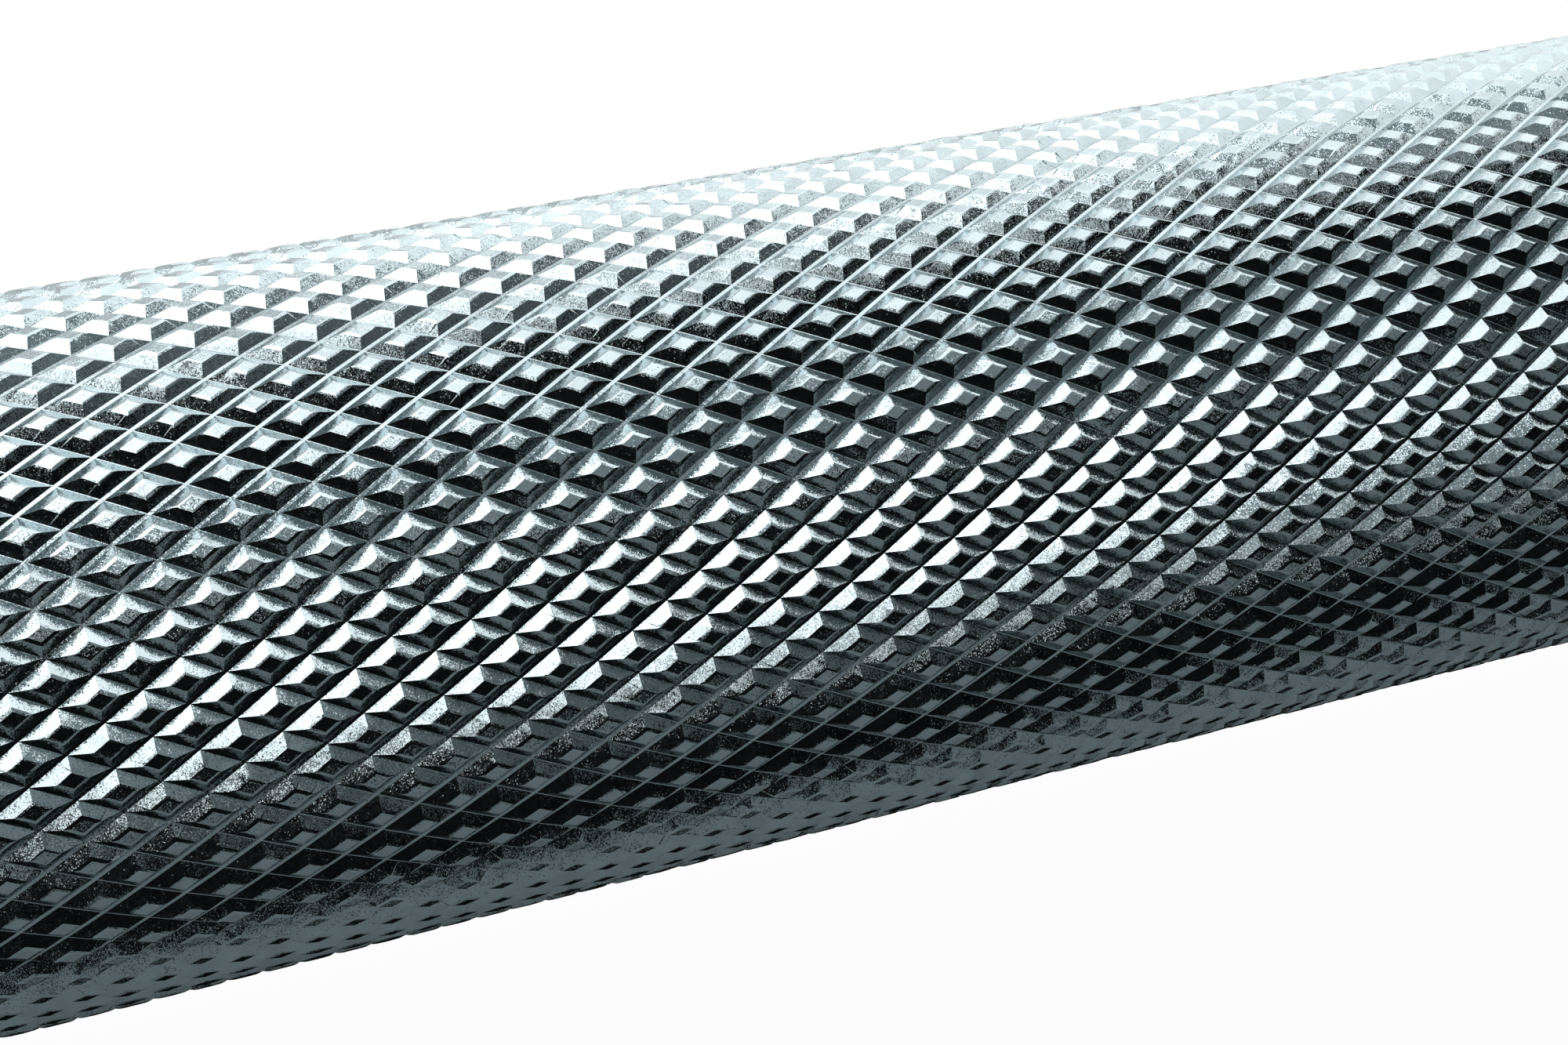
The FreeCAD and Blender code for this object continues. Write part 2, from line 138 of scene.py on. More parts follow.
def mesh_from(name, points, corners, sizes, unwrapped, crease):
    """A mesh from flat arrays: its points, the corners of each face in turn, and the faces' sizes.

    unwrapped holds each corner's place on the map, and edges over the crease angle are sharp.
    """
    mesh = bpy.data.meshes.new(name)
    mesh.vertices.add(len(points))
    mesh.vertices.foreach_set("co", points.astype(np.float32).ravel())
    mesh.loops.add(len(corners))
    mesh.loops.foreach_set("vertex_index", corners.astype(np.int32))
    mesh.polygons.add(len(sizes))
    starts = np.concatenate([[0], np.cumsum(sizes)[:-1]])
    mesh.polygons.foreach_set("loop_start", starts.astype(np.int32))
    mesh.update(calc_edges=True)
    layer = mesh.uv_layers.new(name="OFBake")
    layer.uv.foreach_set("vector", unwrapped.astype(np.float32).ravel())
    mesh.validate()
    mesh.shade_smooth()
    mesh.set_sharp_from_angle(angle=crease)
    return mesh


# Turned pieces, made again from the outlines of their solids


def outline_of(node):
    """A turned solid's outline as (x, radius) points in order, read from its mesh, and whether it closes."""
    mesh = frame["nodes"][node].data
    places = np.empty(len(mesh.vertices) * 3)
    mesh.vertices.foreach_get("co", places)
    places = places.reshape(-1, 3)
    stations = np.stack([places[:, 0], np.hypot(places[:, 1], places[:, 2])], axis=1)
    stations, owner = np.unique(np.round(stations, OUTLINE_DIGITS), axis=0, return_inverse=True)
    edges = np.empty(len(mesh.edges) * 2, dtype=np.int64)
    mesh.edges.foreach_get("vertices", edges)
    links = {index: set() for index in range(len(stations))}
    for one, other in owner.ravel()[edges.reshape(-1, 2)]:
        if one != other:
            links[int(one)].add(int(other))
            links[int(other)].add(int(one))
    ends = [index for index in links if len(links[index]) == 1]
    walk = [ends[0] if ends else 0]
    while True:
        onward = [index for index in sorted(links[walk[-1]]) if index not in walk]
        if not onward:
            break
        walk.append(onward[0])
    return [tuple(stations[index]) for index in walk], not ends


def eased(outline, radius, closed):
    """The outline with its corners rounded by an arc of that radius, or less where an edge is short."""
    points = [Vector(point) for point in outline]
    rounded = []
    for index, corner in enumerate(points):
        if not closed and index in (0, len(points) - 1):
            rounded.append(tuple(corner))
            continue
        back = points[index - 1] - corner
        onward = points[(index + 1) % len(points)] - corner
        half_angle = back.angle(onward) / 2
        if half_angle > STRAIGHT_HALF_ANGLE:
            rounded.append(tuple(corner))
            continue
        longest_reach = ROUND_SHARE * min(back.length, onward.length)
        reach = min(radius / math.tan(half_angle), longest_reach)
        arc_radius = reach * math.tan(half_angle)
        middle = (back.normalized() + onward.normalized()).normalized()
        centre = corner + middle * (arc_radius / math.sin(half_angle))
        first = (corner + back.normalized() * reach - centre).normalized()
        last = (corner + onward.normalized() * reach - centre).normalized()
        for step in range(ROUND_STEPS + 1):
            rounded.append(tuple(centre + first.slerp(last, step / ROUND_STEPS) * arc_radius))
    return rounded


def turned_piece(name, outline, closed, capped=(False, False)):
    """The outline turned about the bar's axis. An open one can have a flat disc at either end."""
    outline = np.array(outline)
    rows = len(outline)
    angle = np.arange(ROUND_SIDES) * (2 * math.pi / ROUND_SIDES)
    points = np.empty((rows, ROUND_SIDES, 3))
    points[..., 0] = outline[:, :1]
    points[..., 1] = outline[:, 1:] * np.cos(angle)
    points[..., 2] = outline[:, 1:] * np.sin(angle)
    row, side = np.meshgrid(np.arange(rows if closed else rows - 1), np.arange(ROUND_SIDES), indexing="ij")
    along = np.stack([row, row, row + 1, row + 1], axis=-1).reshape(-1, 4)
    around = np.stack([side, side + 1, side + 1, side], axis=-1).reshape(-1, 4)
    corners = ((along % rows) * ROUND_SIDES + around % ROUND_SIDES).ravel()
    sizes = [4] * len(along)
    # How far up the map each row lies, and the first row again once the outline has closed
    length = np.concatenate([[0], np.cumsum(np.hypot(*np.diff(outline, axis=0).T))])
    closed_length = length[-1] + np.hypot(*(outline[0] - outline[-1]))
    length = np.append(length, closed_length) / (length[-1] * WRAP_ROOM)
    unwrapped = np.stack([around / ROUND_SIDES * WRAP_WIDTH, length[along]], axis=-1).reshape(-1, 2)
    disc = np.arange(ROUND_SIDES)
    for wanted, disc_row, disc_up in zip(capped, (0, rows - 1), DISC_UP):
        if wanted:
            turn = disc[::-1] if disc_row == 0 else disc
            corners = np.concatenate([corners, disc_row * ROUND_SIDES + turn])
            map_across = DISC_ACROSS + DISC_RADIUS * np.cos(angle[turn])
            map_up = disc_up + DISC_RADIUS * np.sin(angle[turn])
            unwrapped = np.concatenate([unwrapped, np.stack([map_across, map_up], axis=-1)])
            sizes.append(ROUND_SIDES)
    mesh = mesh_from(name, points.reshape(-1, 3), corners, np.array(sizes), unwrapped, CREASE)
    return new_object(name, mesh)


# The knurl


class Band:
    """A knurled stretch of the shaft, with its crest radius and the plain radius past each end."""

    def __init__(self, name, start, end, crest, plain, depth):
        self.name = name
        self.start = start
        self.end = end
        self.crest = crest
        self.plain = plain
        self.depth = depth
        self.rings = round((end - start) / RING_STEP)
        self.step = (end - start) / self.rings


def knurl_points(band, half, first, last, worn):
    """The corners of the diamonds from ring first to ring last, and of one more ring at each end.

    half holds the lines of half a diamond, and worn makes each diamond a little different.
    """
    # Lines across a whole diamond: in from one groove's middle, and out again to the next
    half = np.array(half)
    inward = np.concatenate([np.arange(len(half)), np.arange(len(half) - 1, 0, -1)])
    lines = len(inward)
    whole = np.where(np.arange(lines)[:, None] < len(half), half[inward], 1 - half[inward])
    ring = np.arange(first - 1, last + 2)[:, None, None, None]
    cell = np.arange(GROOVES)[None, :, None, None]
    place_1 = whole[None, None, :, None, 0]
    place_2 = whole[None, None, None, :, 1]
    height = half[np.minimum(inward[:, None], inward[None, :]), 2]
    height = np.broadcast_to(height, (ring.size, GROOVES, lines, lines)).copy()
    shift_1 = TOP_LEAN * height
    shift_2 = np.zeros_like(height)
    if worn:
        random = np.random.default_rng(CUT_SEED)
        raised = height > 0
        height += raised * random.normal(0, CUT_WANDER, height.shape)
        height += (height > TOP_START) * random.normal(0, TOP_SPREAD, (ring.size, GROOVES, 1, 1))
        shift_1 += raised * random.normal(0, CUT_WANDER, height.shape)
        shift_2 += raised * random.normal(0, CUT_WANDER, height.shape)
    # A step across either hand goes round the bar, and along it forwards for one hand and back for the other
    across_1 = place_1 + shift_1
    across_2 = place_2 + shift_2
    turn = KNURL_TURN + (2 * cell + ring + across_1 + across_2) * (math.pi / GROOVES)
    along = np.clip(band.start + (ring + across_1 - across_2) * band.step, band.start, band.end)
    # The cut runs out smoothly to the plain radius at each end
    from_start = (along - band.start) / RUN_OUT
    from_end = (band.end - along) / RUN_OUT
    share = np.clip(np.minimum(from_start, from_end), 0, 1)
    share = share * share * (3 - 2 * share)
    plain = np.where(from_start < from_end, band.plain[0], band.plain[1])
    radius = plain + (band.crest - band.depth * (1 - height) - plain) * share
    return np.stack([along, -radius * np.cos(turn), -radius * np.sin(turn)], axis=-1)


def knurl_faces(band, lines, first, last, base):
    """Triangles of the diamonds from ring first up to ring last, of points that start at ring base."""
    middle = lines // 2
    ring, cell, line_1, line_2 = np.meshgrid(
        np.arange(first, last), np.arange(GROOVES), np.arange(lines), np.arange(lines), indexing="ij")
    ring, cell, line_1, line_2 = (grid.ravel() for grid in (ring, cell, line_1, line_2))
    # Each small square is split along the hip that runs from its diamond's corner to the top
    hip_rises = (line_1 - middle) * (line_2 - middle) >= 0
    low = (0, 0)
    right = (1, 0)
    left = (0, 1)
    high = (1, 1)
    splits = (
        (True, ((low, left, high), (low, high, right))),
        (False, ((low, left, right), (right, left, high))),
    )
    faces = []
    for rises, triangles in splits:
        chosen = hip_rises == rises
        for triangle in triangles:
            steps = np.array(triangle)
            corner_1 = line_1[chosen][:, None] + steps[:, 0]
            corner_2 = line_2[chosen][:, None] + steps[:, 1]
            # The first and last rings keep only their halves inside the band
            lean = corner_1.sum(axis=1) - corner_2.sum(axis=1)
            of_ring = ring[chosen]
            inside = ((of_ring > 0) | (lean > 0)) & ((of_ring < band.rings) | (lean < 0))
            # A corner past the last line is the first corner of the next diamond
            over_1 = corner_1[inside] == lines
            over_2 = corner_2[inside] == lines
            face_ring = of_ring[inside][:, None] + over_1 - over_2 - base
            face_cell = (cell[chosen][inside][:, None] + over_2) % GROOVES
            index = (face_ring * GROOVES + face_cell) * lines + corner_1[inside] % lines
            faces.append(index * lines + corner_2[inside] % lines)
    return np.concatenate(faces)


def knurl_piece(name, band, points, first, last, base):
    """One piece of the band, from ring first up to ring last, cut from the points of a longer stretch."""
    lines = points.shape[2]
    faces = knurl_faces(band, lines, first, last, base)
    used, corners = np.unique(faces, return_inverse=True)
    places = points.reshape(-1, 3)[used]
    corners = corners.reshape(-1, 3)
    # In turns from 0 to 1, and on past 1 for a face across the seam
    turn = np.arctan2(-places[:, 2], -places[:, 1])[corners] / (2 * math.pi) + 0.5
    turn += (turn.max(axis=1, keepdims=True) - turn > 0.5)
    along = places[:, 0][corners]
    along = (along - along.min()) / (along.max() - along.min())
    unwrapped = np.stack([turn / KNURL_WRAP_ROOM, along], axis=-1)
    sizes = np.full(len(corners), 3)
    mesh = mesh_from(name, places, corners.ravel(), sizes, unwrapped.reshape(-1, 2), KNURL_CREASE)
    return new_object(name, mesh)


def knurl_pieces(band):
    """The band's pieces: plain diamonds, and finely cut ones where the camera comes close."""
    fine_first = round((CLOSE_UP[0] - band.start) / band.step)
    fine_last = round((CLOSE_UP[1] - band.start) / band.step)
    if not 0 < fine_first < fine_last < band.rings:
        points = knurl_points(band, PLAIN_LINES, 0, band.rings, False)
        return [knurl_piece(f"shaft_knurl_{band.name}", band, points, 0, band.rings + 1, -1)]
    pieces = []
    for part, (first, last) in enumerate(((0, fine_first), (fine_last, band.rings + 1)), 1):
        points = knurl_points(band, PLAIN_LINES, first, last, False)
        pieces.append(knurl_piece(f"shaft_knurl_{band.name}_{part}", band, points, first, last, first - 1))
    points = knurl_points(band, FINE_LINES, fine_first, fine_last, True)
    for part, first in enumerate(range(fine_first, fine_last, RINGS_A_PIECE), 1):
        last = min(first + RINGS_A_PIECE, fine_last)
        name = f"shaft_knurl_{band.name}_fine_{part}"
        pieces.append(knurl_piece(name, band, points, first, last, fine_first - 1))
    return pieces


# Materials. Sizes of grain and pitches of lines are in millimetres

# Stretches of a texture's range: most of a noise lies between 0.3 and 0.7, and a wave fills the whole
WIDE = (0.3, 0.7)
NARROW = (0.35, 0.65)
UPPER = (0.35, 0.75)
WHOLE = (0, 1)

# Detail of a noise where none is given, and the period of a wave texture at a scale of 1
PLAIN_DETAIL = 2.0
WAVE_PERIOD = 0.314

# Clouds on the inner pieces, as times the size of their grain, and the spread of a black surface's roughness
CLOUD_SIZE = 20
BLACK_SPREAD = 0.1


class Finish:
    """A material under way: its nodes, its shader, and the place on the bar in millimetres."""

    def __init__(self, name, metallic, roughness):
        self.material = bpy.data.materials.new(name)
        self.material.use_nodes = True
        self.nodes = self.material.node_tree.nodes
        self.links = self.material.node_tree.links
        self.shader = self.nodes["Principled BSDF"]
        self.shader.inputs["Metallic"].default_value = metallic
        self.shader.inputs["Roughness"].default_value = roughness
        place = self.nodes.new("ShaderNodeTexCoord")
        scaled = self.nodes.new("ShaderNodeMapping")
        scaled.inputs["Scale"].default_value = (1 / MM, 1 / MM, 1 / MM)
        self.links.new(place.outputs["Object"], scaled.inputs["Vector"])
        self.millimetres = scaled.outputs["Vector"]

    def stretched(self, scale):
        """The place in millimetres, drawn out along the axes."""
        mapping = self.nodes.new("ShaderNodeMapping")
        mapping.inputs["Scale"].default_value = scale
        self.links.new(self.millimetres, mapping.inputs["Vector"])
        return mapping.outputs["Vector"]

    def noise(self, size, detail=PLAIN_DETAIL, scale=(1, 1, 1)):
        """Noise with grains of that size."""
        node = self.nodes.new("ShaderNodeTexNoise")
        node.inputs["Scale"].default_value = 1 / size
        node.inputs["Detail"].default_value = detail
        self.links.new(self.stretched(scale), node.inputs["Vector"])
        return node.outputs["Fac"]

    def lathe_lines(self, pitch, kind, wander):
        """Turning marks of that pitch, along the bar or as rings on a face."""
        node = self.nodes.new("ShaderNodeTexWave")
        node.wave_type = kind
        node.inputs["Scale"].default_value = WAVE_PERIOD / pitch
        node.inputs["Distortion"].default_value = wander
        node.inputs["Detail"].default_value = PLAIN_DETAIL
        self.links.new(self.millimetres, node.inputs["Vector"])
        return node.outputs["Fac"]

    def ranged(self, value, limits, results):
        """A value carried from between the limits to between the results."""
        node = self.nodes.new("ShaderNodeMapRange")
        for socket, number in zip(("From Min", "From Max", "To Min", "To Max"), (*limits, *results)):
            node.inputs[socket].default_value = number
        self.links.new(value, node.inputs["Value"])
        return node.outputs["Result"]

    def blend(self, share, first, second):
        """A colour between two, by a share."""
        node = self.nodes.new("ShaderNodeMix")
        node.data_type = "RGBA"
        node.inputs["A"].default_value = (*first, 1)
        node.inputs["B"].default_value = (*second, 1)
        self.links.new(share, node.inputs["Factor"])
        return node.outputs["Result"]

    def bumped(self, height, depth, under=None):
        """A normal bent by that height, which is depth metres deep."""
        node = self.nodes.new("ShaderNodeBump")
        node.inputs["Strength"].default_value = 1.0
        node.inputs["Distance"].default_value = depth
        self.links.new(height, node.inputs["Height"])
        if under is not None:
            self.links.new(under, node.inputs["Normal"])
        return node.outputs["Normal"]

    def vector_math(self, operation, *values):
        """An operation on vectors, each of them an output of a node or three fixed numbers."""
        node = self.nodes.new("ShaderNodeVectorMath")
        node.operation = operation
        for socket, value in zip(node.inputs, values):
            if isinstance(value, bpy.types.NodeSocket):
                self.links.new(value, socket)
            else:
                socket.default_value = value
        return node.outputs["Vector"]

    def sparkling(self, size, lean):
        """A normal that leans its own way in each grain of that size, far in a few and little in most."""
        grains = self.nodes.new("ShaderNodeTexVoronoi")
        grains.inputs["Scale"].default_value = 1 / size
        self.links.new(self.millimetres, grains.inputs["Vector"])
        signed = self.vector_math("MULTIPLY_ADD", grains.outputs["Color"], (2, 2, 2), (-1, -1, -1))
        square = self.vector_math("MULTIPLY", signed, signed)
        cube = self.vector_math("MULTIPLY", signed, square)
        leaning = self.vector_math("MULTIPLY", cube, (lean, lean, lean))
        surface = self.nodes.new("ShaderNodeNewGeometry")
        bent = self.vector_math("ADD", surface.outputs["Normal"], leaning)
        return self.vector_math("NORMALIZE", bent)

    def join(self, output, socket):
        """An output to one of the shader's sockets."""
        self.links.new(output, self.shader.inputs[socket])

    def colour(self, value, limits, dark, light):
        """The colour goes from dark to light as the value goes from one limit to the other."""
        self.join(self.blend(self.ranged(value, limits, WHOLE), dark, light), "Base Color")

    def roughen(self, value, limits, roughness):
        """The roughness goes through its range as the value goes from one limit to the other."""
        self.join(self.ranged(value, limits, roughness), "Roughness")


def knurl_steel():
    """Bright zinc on cut steel: a cool metal with a fine sparkling grain."""
    finish = Finish("knurl_steel", metallic=1.0, roughness=0.16)
    patches = finish.noise(1.6, detail=3.0)
    finish.colour(patches, WIDE, dark=(0.335, 0.395, 0.412), light=(0.405, 0.478, 0.498))
    finish.roughen(finish.noise(0.2), WIDE, roughness=(0.10, 0.18))
    finish.join(finish.sparkling(size=0.033, lean=0.14), "Normal")
    return finish.material


def bar_steel():
    """The shaft's plain stretches: ground steel with fine rings and a few long rubs."""
    finish = Finish("bar_steel", metallic=1.0, roughness=0.25)
    lines = finish.lathe_lines(pitch=0.12, kind="BANDS", wander=1.5)
    rubs = finish.noise(0.6, detail=4.0, scale=(0.04, 1, 1))
    finish.colour(rubs, NARROW, dark=(0.44, 0.47, 0.485), light=(0.52, 0.55, 0.565))
    finish.roughen(rubs, WIDE, roughness=(0.20, 0.36))
    finish.join(finish.bumped(lines, depth=0.0008 * MM), "Normal")
    return finish.material


def sleeve_chrome():
    """Hard chrome over turned steel, rubbed along the sleeve where plates slide."""
    finish = Finish("sleeve_chrome", metallic=1.0, roughness=0.14)
    lines = finish.lathe_lines(pitch=0.25, kind="BANDS", wander=2.0)
    rubs = finish.noise(0.5, detail=5.0, scale=(0.03, 1, 1))
    haze = finish.noise(18.0, detail=3.0)
    finish.colour(haze, NARROW, dark=(0.48, 0.49, 0.50), light=(0.56, 0.57, 0.58))
    finish.roughen(rubs, UPPER, roughness=(0.16, 0.34))
    rubbed = finish.bumped(rubs, depth=0.0006 * MM)
    finish.join(finish.bumped(lines, depth=0.0006 * MM, under=rubbed), "Normal")
    return finish.material


def plain_metal(name, dark, light, roughness, grain, depth):
    """A ground or pressed metal for the inner pieces."""
    finish = Finish(name, metallic=1.0, roughness=sum(roughness) / 2)
    speckle = finish.noise(grain, detail=4.0)
    cloud = finish.noise(grain * CLOUD_SIZE, detail=3.0)
    finish.colour(cloud, NARROW, dark, light)
    finish.roughen(speckle, WIDE, roughness)
    finish.join(finish.bumped(speckle, depth), "Normal")
    return finish.material


def turned_aluminium():
    """The end cap: satin aluminium with rings from the lathe."""
    finish = Finish("cap_aluminium", metallic=1.0, roughness=0.28)
    lines = finish.lathe_lines(pitch=0.35, kind="RINGS", wander=0.4)
    lines.node.rings_direction = "X"
    cloud = finish.noise(6.0, detail=3.0)
    finish.colour(cloud, NARROW, dark=(0.66, 0.67, 0.68), light=(0.76, 0.77, 0.78))
    finish.roughen(lines, WHOLE, roughness=(0.22, 0.34))
    finish.join(finish.bumped(lines, depth=0.004 * MM), "Normal")
    return finish.material


def dull_black(name, dark, light, roughness, grain, depth):
    """A black surface that isn't bare metal: rubber, or phosphated spring steel."""
    finish = Finish(name, metallic=0.0, roughness=roughness)
    speckle = finish.noise(grain, detail=4.0)
    finish.colour(speckle, UPPER, dark, light)
    finish.roughen(speckle, WIDE, (roughness - BLACK_SPREAD, roughness + BLACK_SPREAD))
    finish.join(finish.bumped(speckle, depth), "Normal")
    return finish.material


KNURL_STEEL = knurl_steel()
BAR_STEEL = bar_steel()
FINISHES = {
    "sleeve_chrome": sleeve_chrome(),
    "bronze": plain_metal(
        "bronze", dark=(0.50, 0.30, 0.12), light=(0.64, 0.42, 0.20),
        roughness=(0.25, 0.42), grain=0.15, depth=0.002 * MM),
    "bearing_steel": plain_metal(
        "bearing_steel", dark=(0.55, 0.55, 0.56), light=(0.66, 0.66, 0.67),
        roughness=(0.14, 0.24), grain=0.10, depth=0.001 * MM),
    "cage_steel": plain_metal(
        "cage_steel", dark=(0.33, 0.32, 0.30), light=(0.44, 0.42, 0.39),
        roughness=(0.32, 0.48), grain=0.20, depth=0.003 * MM),
    "spring_steel": dull_black(
        "spring_steel", dark=(0.030, 0.030, 0.033), light=(0.075, 0.074, 0.076),
        roughness=0.42, grain=0.08, depth=0.004 * MM),
    "seal_rubber": dull_black(
        "seal_rubber", dark=(0.018, 0.018, 0.018), light=(0.040, 0.040, 0.041),
        roughness=0.62, grain=0.30, depth=0.010 * MM),
    "cap_aluminium": turned_aluminium(),
}


def placed(piece, body, node, material):
    """Puts a finished piece on its body, in place of its node and material."""
    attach(piece, body)
    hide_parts(node)
    piece.data.materials.append(material)


# The shaft: knurled bands where its solid is widest, plain stretches between them
shaft_outline, _ = outline_of("shaft")
if shaft_outline[0][0] > shaft_outline[-1][0]:
    shaft_outline.reverse()
crest = max(radius for _, radius in shaft_outline)
band_ends = [index for index, (_, radius) in enumerate(shaft_outline) if radius == crest]
for band_name, index in zip(BAND_NAMES, band_ends[::2]):
    (start, _), (end, _) = shaft_outline[index:index + 2]
    plain = (shaft_outline[index - 1][1], shaft_outline[index + 2][1])
    depth = CENTRE_DEPTH if band_name == "centre" else GRIP_DEPTH
    for piece in knurl_pieces(Band(band_name, start, end, crest, plain, depth)):
        placed(piece, "shaft_assembly", "shaft", KNURL_STEEL)
stretches = zip([0] + [index + 2 for index in band_ends[::2]], band_ends[::2] + [len(shaft_outline)])
for number, (first, last) in enumerate(stretches, 1):
    outline = eased(shaft_outline[first:last], EDGE_BREAK, False)
    capped = (first == 0, last == len(shaft_outline))
    piece = turned_piece(f"shaft_plain_{number}", outline, False, capped)
    placed(piece, "shaft_assembly", "shaft", BAR_STEEL)


# The turned pieces of each sleeve
def collar_outline(node):
    """The collar's ring with its rounded rim, from the size of its solid."""
    low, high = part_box(node)
    bore = min(math.hypot(vertex.co.y, vertex.co.z) for vertex in frame["nodes"][node].data.vertices)
    rim = [(low.x, bore), (low.x, high.z), (high.x, high.z), (high.x, bore)]
    return eased(rim, COLLAR_ROUNDING, False)


TURNED_SLOTS = {"sleeve": "sleeve_chrome", "dust_seal": "seal_rubber", "end_cap": "cap_aluminium"}
for side in SIDES:
    sleeve_body = f"{side}_sleeve_assembly"
    for name, slot in TURNED_SLOTS.items():
        node = f"{side}_{name}"
        outline, closed = outline_of(node)
        capped = (not closed, not closed)
        piece = turned_piece(f"{node}_turned", eased(outline, EDGE_BREAK, closed), closed, capped)
        placed(piece, sleeve_body, node, FINISHES[slot])
    node = f"{side}_collar"
    piece = turned_piece(f"{node}_turned", collar_outline(node), True)
    placed(piece, sleeve_body, node, FINISHES["sleeve_chrome"])

# The other solids keep their shapes and get their finishes
slot_of = {part["node"]: part["material_slot"] for part in frame["record"]["subparts"]}
for node, solid in frame["nodes"].items():
    if not solid.hide_render:
        solid.data.materials.clear()
        solid.data.materials.append(FINISHES[slot_of[node]])


# The studio: paper with a faint cloud in it, on the floor and on cards
PAPER_ROUGHNESS = 0.7
PAPER_CLOUD = 300.0
PAPER_SHADE = 0.97


def seen_by_rays(nodes, links):
    """1 for what the camera sees, straight or in metal or glass, and 0 for the light that falls on things."""
    rays = nodes.new("ShaderNodeLightPath")
    seen = rays.outputs["Is Camera Ray"]
    for kind in ("Is Glossy Ray", "Is Transmission Ray"):
        either = nodes.new("ShaderNodeMath")
        either.operation = "MAXIMUM"
        links.new(seen, either.inputs[0])
        links.new(rays.outputs[kind], either.inputs[1])
        seen = either.outputs[0]
    return seen


def paper(name, colour):
    """A plain sheet of that colour."""
    finish = Finish(name, metallic=0.0, roughness=PAPER_ROUGHNESS)
    shade = tuple(PAPER_SHADE * channel for channel in colour)
    finish.join(finish.blend(finish.noise(PAPER_CLOUD), shade, colour), "Base Color")
    return finish


def white_paper(name, colour, glow):
    """A sheet that shows as white, by that share, and keeps the shadows on it by the rest."""
    finish = paper(name, colour)
    white = finish.nodes.new("ShaderNodeEmission")
    share = finish.ranged(seen_by_rays(finish.nodes, finish.links), WHOLE, (0, glow))
    mixed = finish.nodes.new("ShaderNodeMixShader")
    finish.links.new(share, mixed.inputs["Fac"])
    finish.links.new(finish.shader.outputs["BSDF"], mixed.inputs[1])
    finish.links.new(white.outputs["Emission"], mixed.inputs[2])
    finish.links.new(mixed.outputs["Shader"], finish.nodes["Material Output"].inputs["Surface"])
    return finish.material


def sheet(name, corners, material):
    """A flat stage sheet."""
    mesh = bpy.data.meshes.new(name)
    mesh.from_pydata(corners, [], [tuple(range(len(corners)))])
    mesh.materials.append(material)
    piece = new_object(name, mesh)
    return piece


def level_corners(level, left, right, near, far):
    """The corners of a level rectangle."""
    return [(left, near, level), (right, near, level), (right, far, level), (left, far, level)]


floor_level = cad_box[0].z
FLOOR_HALF = 9.0
FLOOR_COLOUR = (0.88, 0.88, 0.88)
FLOOR_GLOW = 0.93
sheet("floor", level_corners(floor_level, -FLOOR_HALF, FLOOR_HALF, -FLOOR_HALF, FLOOR_HALF),
      white_paper("floor_paper", FLOOR_COLOUR, FLOOR_GLOW))

# Cards that only reflections see, placed in metres from the spot on the grip that the camera looks at
SPOT_AHEAD = 0.0267
spot = Vector((CAMERA_PLACE.x + SPOT_AHEAD, 0, 0))
CARD_TINT = (0.90, 1.02, 1.07)
CARD_LIFT = 0.4 * MM

# Long cards, past both ends of the bar
LONG = 3.2
LONG_LEVEL = floor_level + CARD_LIFT
LONG_FRONT = -2.4
LONG_TOP = 1.4
FOOT_FRONT = -0.055
SHADE_BACK = 0.22

# Cards close to the spot, from the front to the back, from the left to the right, and upwards
LEVEL = floor_level + 2 * CARD_LIFT
FLOOR_FRONT = -0.40
FOOT_SPLIT = -0.11
NEAR_BACK = -0.018
FOOT_BACK = 0.05
LEFT = -0.60
RIGHT = 0.33
UNDER_RIGHT = 0.38
WALL_TOP = 0.36
END_BACK = -0.045
END_SPLIT = 0.15
ROOF = 0.40
ROOF_LEFT = -0.06
ROOF_BACK = (-0.15, 0.02)
SIDE_FRONT = 2 * FLOOR_FRONT
SIDE_RIGHT = -0.33
SIDE_BACK = (-0.39, -0.27)


def card_paper(name, shade):
    """Cool paper of that shade, with no shine."""
    finish = paper(name, tuple(channel * shade for channel in CARD_TINT))
    finish.shader.inputs["Specular IOR Level"].default_value = 0.0
    return finish.material


CARD_BLACK = card_paper("card_black", 0.004)
CARD_SHADE = card_paper("card_shade", 0.007)
CARD_GREY = card_paper("card_grey", 0.18)
CARD_MIDDLE = card_paper("card_middle", 0.24)
CARD_PALE = card_paper("card_pale", 0.40)


def card(name, material, corners):
    """A sheet round the spot that only reflections see."""
    piece = sheet(name, [tuple(spot + Vector(corner)) for corner in corners], material)
    piece.visible_camera = False
    piece.visible_diffuse = False
    piece.visible_shadow = False


def flat_card(name, material, level, left, right, near, far):
    """A level card."""
    card(name, material, level_corners(level, left, right, near, far))


def front_card(name, material, place, left, right, low, high):
    """An upright card that faces the bar's side."""
    card(name, material, [(left, place, low), (right, place, low), (right, place, high), (left, place, high)])


def end_card(name, material, place, near, far, low, high):
    """An upright card across the bar."""
    card(name, material, [(place, near, low), (place, far, low), (place, far, high), (place, near, high)])


def roof_card(name, material, left, right, near, far):
    """A level card at roof height, with a back edge that runs from one far place to the other."""
    corners = [(left, near, ROOF), (right, near, ROOF), (right, far[1], ROOF), (left, far[0], ROOF)]
    card(name, material, corners)


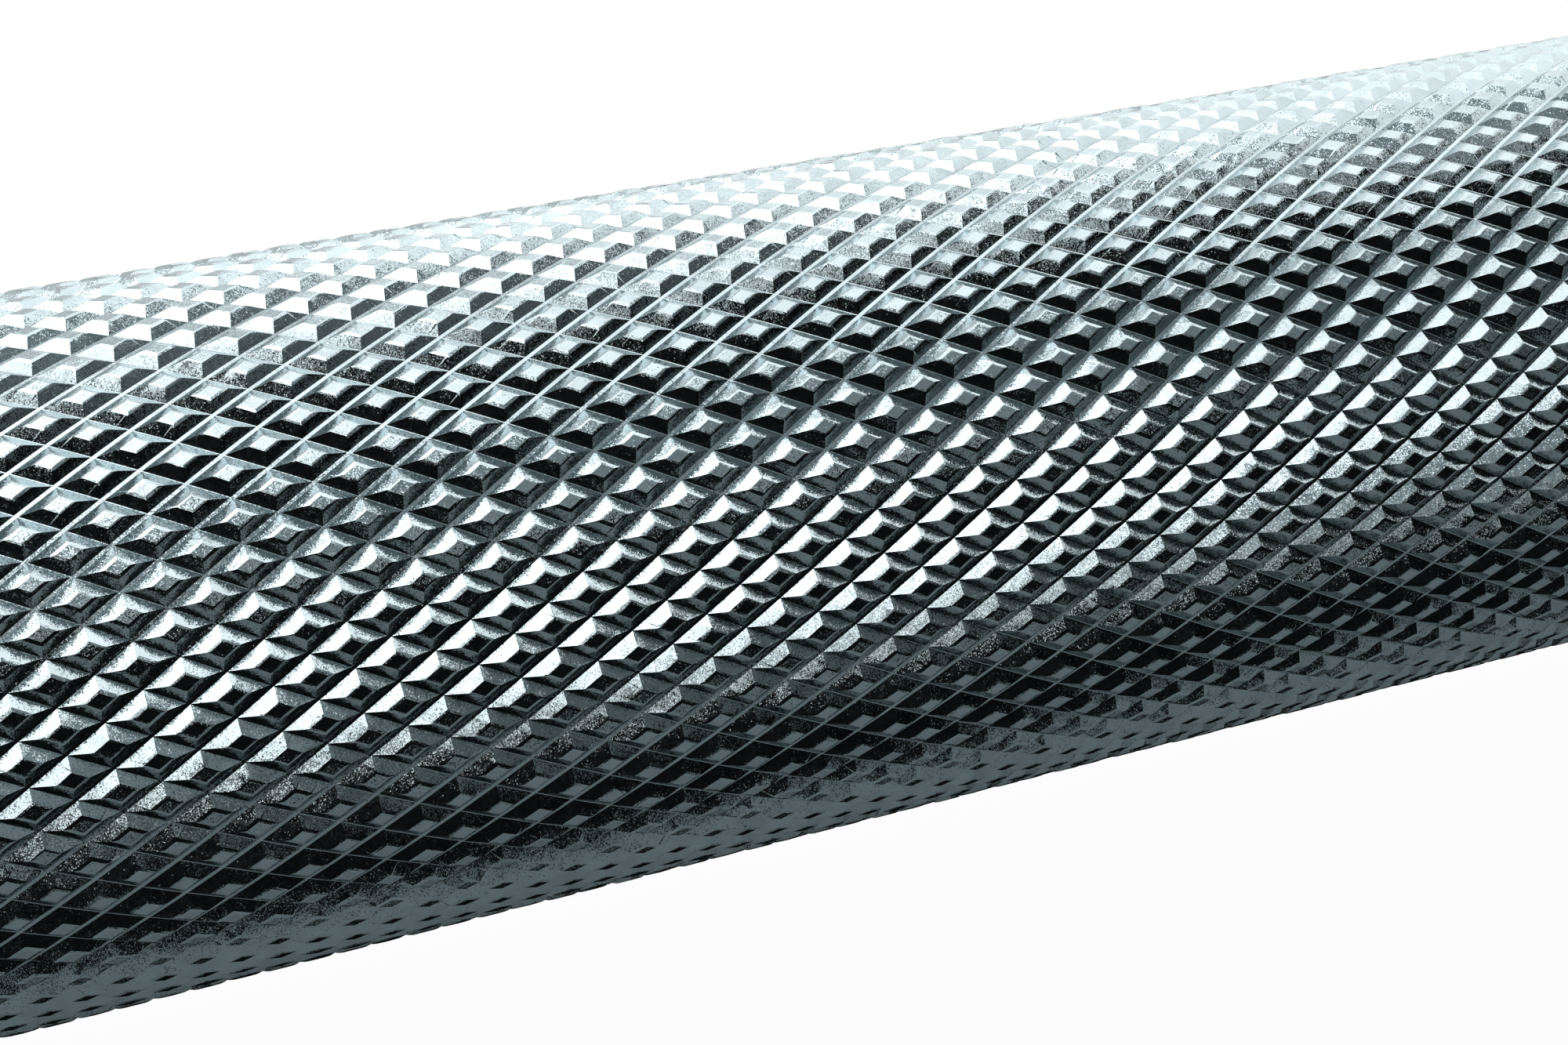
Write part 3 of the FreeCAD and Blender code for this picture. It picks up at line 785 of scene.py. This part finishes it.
flat_card("shade_front", CARD_GREY, LONG_LEVEL, -LONG, LONG, FLOOR_FRONT, FOOT_FRONT)
flat_card("shade_under", CARD_GREY, LONG_LEVEL, -LONG, LONG, FOOT_FRONT, FOOT_BACK)
flat_card("shade_back", CARD_GREY, LONG_LEVEL, -LONG, LONG, FOOT_BACK, SHADE_BACK)
front_card("shade_wall", CARD_GREY, LONG_FRONT, -LONG, LONG, LONG_LEVEL, LONG_TOP)
flat_card("card_front", CARD_SHADE, LEVEL, LEFT, RIGHT, FLOOR_FRONT, FOOT_SPLIT)
flat_card("card_foot", CARD_MIDDLE, LEVEL, LEFT, RIGHT, FOOT_SPLIT, NEAR_BACK)
# Painted shadow: a near-black card right under the bar, seen only in reflections, stands for the bar's shadow
# on the floor
flat_card("painted_shadow_under", CARD_SHADE, LEVEL, LEFT, UNDER_RIGHT, NEAR_BACK, FOOT_BACK)
front_card("card_wall", CARD_SHADE, FLOOR_FRONT, LEFT, RIGHT, LEVEL, WALL_TOP)
end_card("card_end", CARD_BLACK, RIGHT, FLOOR_FRONT, END_BACK, LEVEL, END_SPLIT)
end_card("card_end_over", CARD_GREY, RIGHT, FLOOR_FRONT, END_BACK, END_SPLIT, ROOF)
roof_card("card_roof", CARD_PALE, ROOF_LEFT, RIGHT, FLOOR_FRONT, ROOF_BACK)
roof_card("card_side", CARD_SHADE, LEFT, SIDE_RIGHT, SIDE_FRONT, SIDE_BACK)


def softbox(name, place, aim, width, depth, radiance):
    """A soft lamp of even brightness, facing a point. Both places are from the spot."""
    lamp = bpy.data.lights.new(name, "AREA")
    lamp.shape = "RECTANGLE"
    lamp.size = width
    lamp.size_y = depth
    lamp.energy = radiance * math.pi * width * depth
    light = new_object(name, lamp)
    light.location = spot + Vector(place)
    light.rotation_euler = (Vector(aim) - Vector(place)).to_track_quat("-Z", "Y").to_euler()


softbox("key", place=(-0.75, 0.0, 1.2), aim=(-0.75, 0.0, 0.0), width=1.4, depth=1.65, radiance=1.3)
softbox("back", place=(1.065, 0.894, 0.56), aim=(0.0, 0.0, 0.0), width=2.8, depth=1.2, radiance=0.75)
softbox("overhead", place=(0.25, 0.25, 1.3), aim=(0.25, 0.25, 0.0), width=2.4, depth=1.6, radiance=1.1)

# The world: white where it is seen, and dimmer as the light that falls on things
AMBIENT = 0.45
world = bpy.data.worlds.new("studio")
bpy.context.scene.world = world
world.use_nodes = True
world_nodes = world.node_tree.nodes
world_links = world.node_tree.links
strength = world_nodes.new("ShaderNodeMapRange")
strength.inputs["To Min"].default_value = AMBIENT
world_links.new(seen_by_rays(world_nodes, world_links), strength.inputs["Value"])
background = world_nodes["Background"]
background.inputs["Color"].default_value = (1, 1, 1, 1)
world_links.new(strength.outputs["Result"], background.inputs["Strength"])

# The camera
lens = bpy.data.cameras.new("camera")
lens.lens = LENS
lens.sensor_width = SENSOR
lens.clip_start = NEAR_CLIP
camera = new_object("camera", lens)
camera.location = CAMERA_PLACE
camera.rotation_euler = Euler((math.pi / 2 - CAMERA_PITCH, 0, -CAMERA_TURN))
bpy.context.scene.camera = camera
bpy.context.scene.view_settings.view_transform = "Standard"
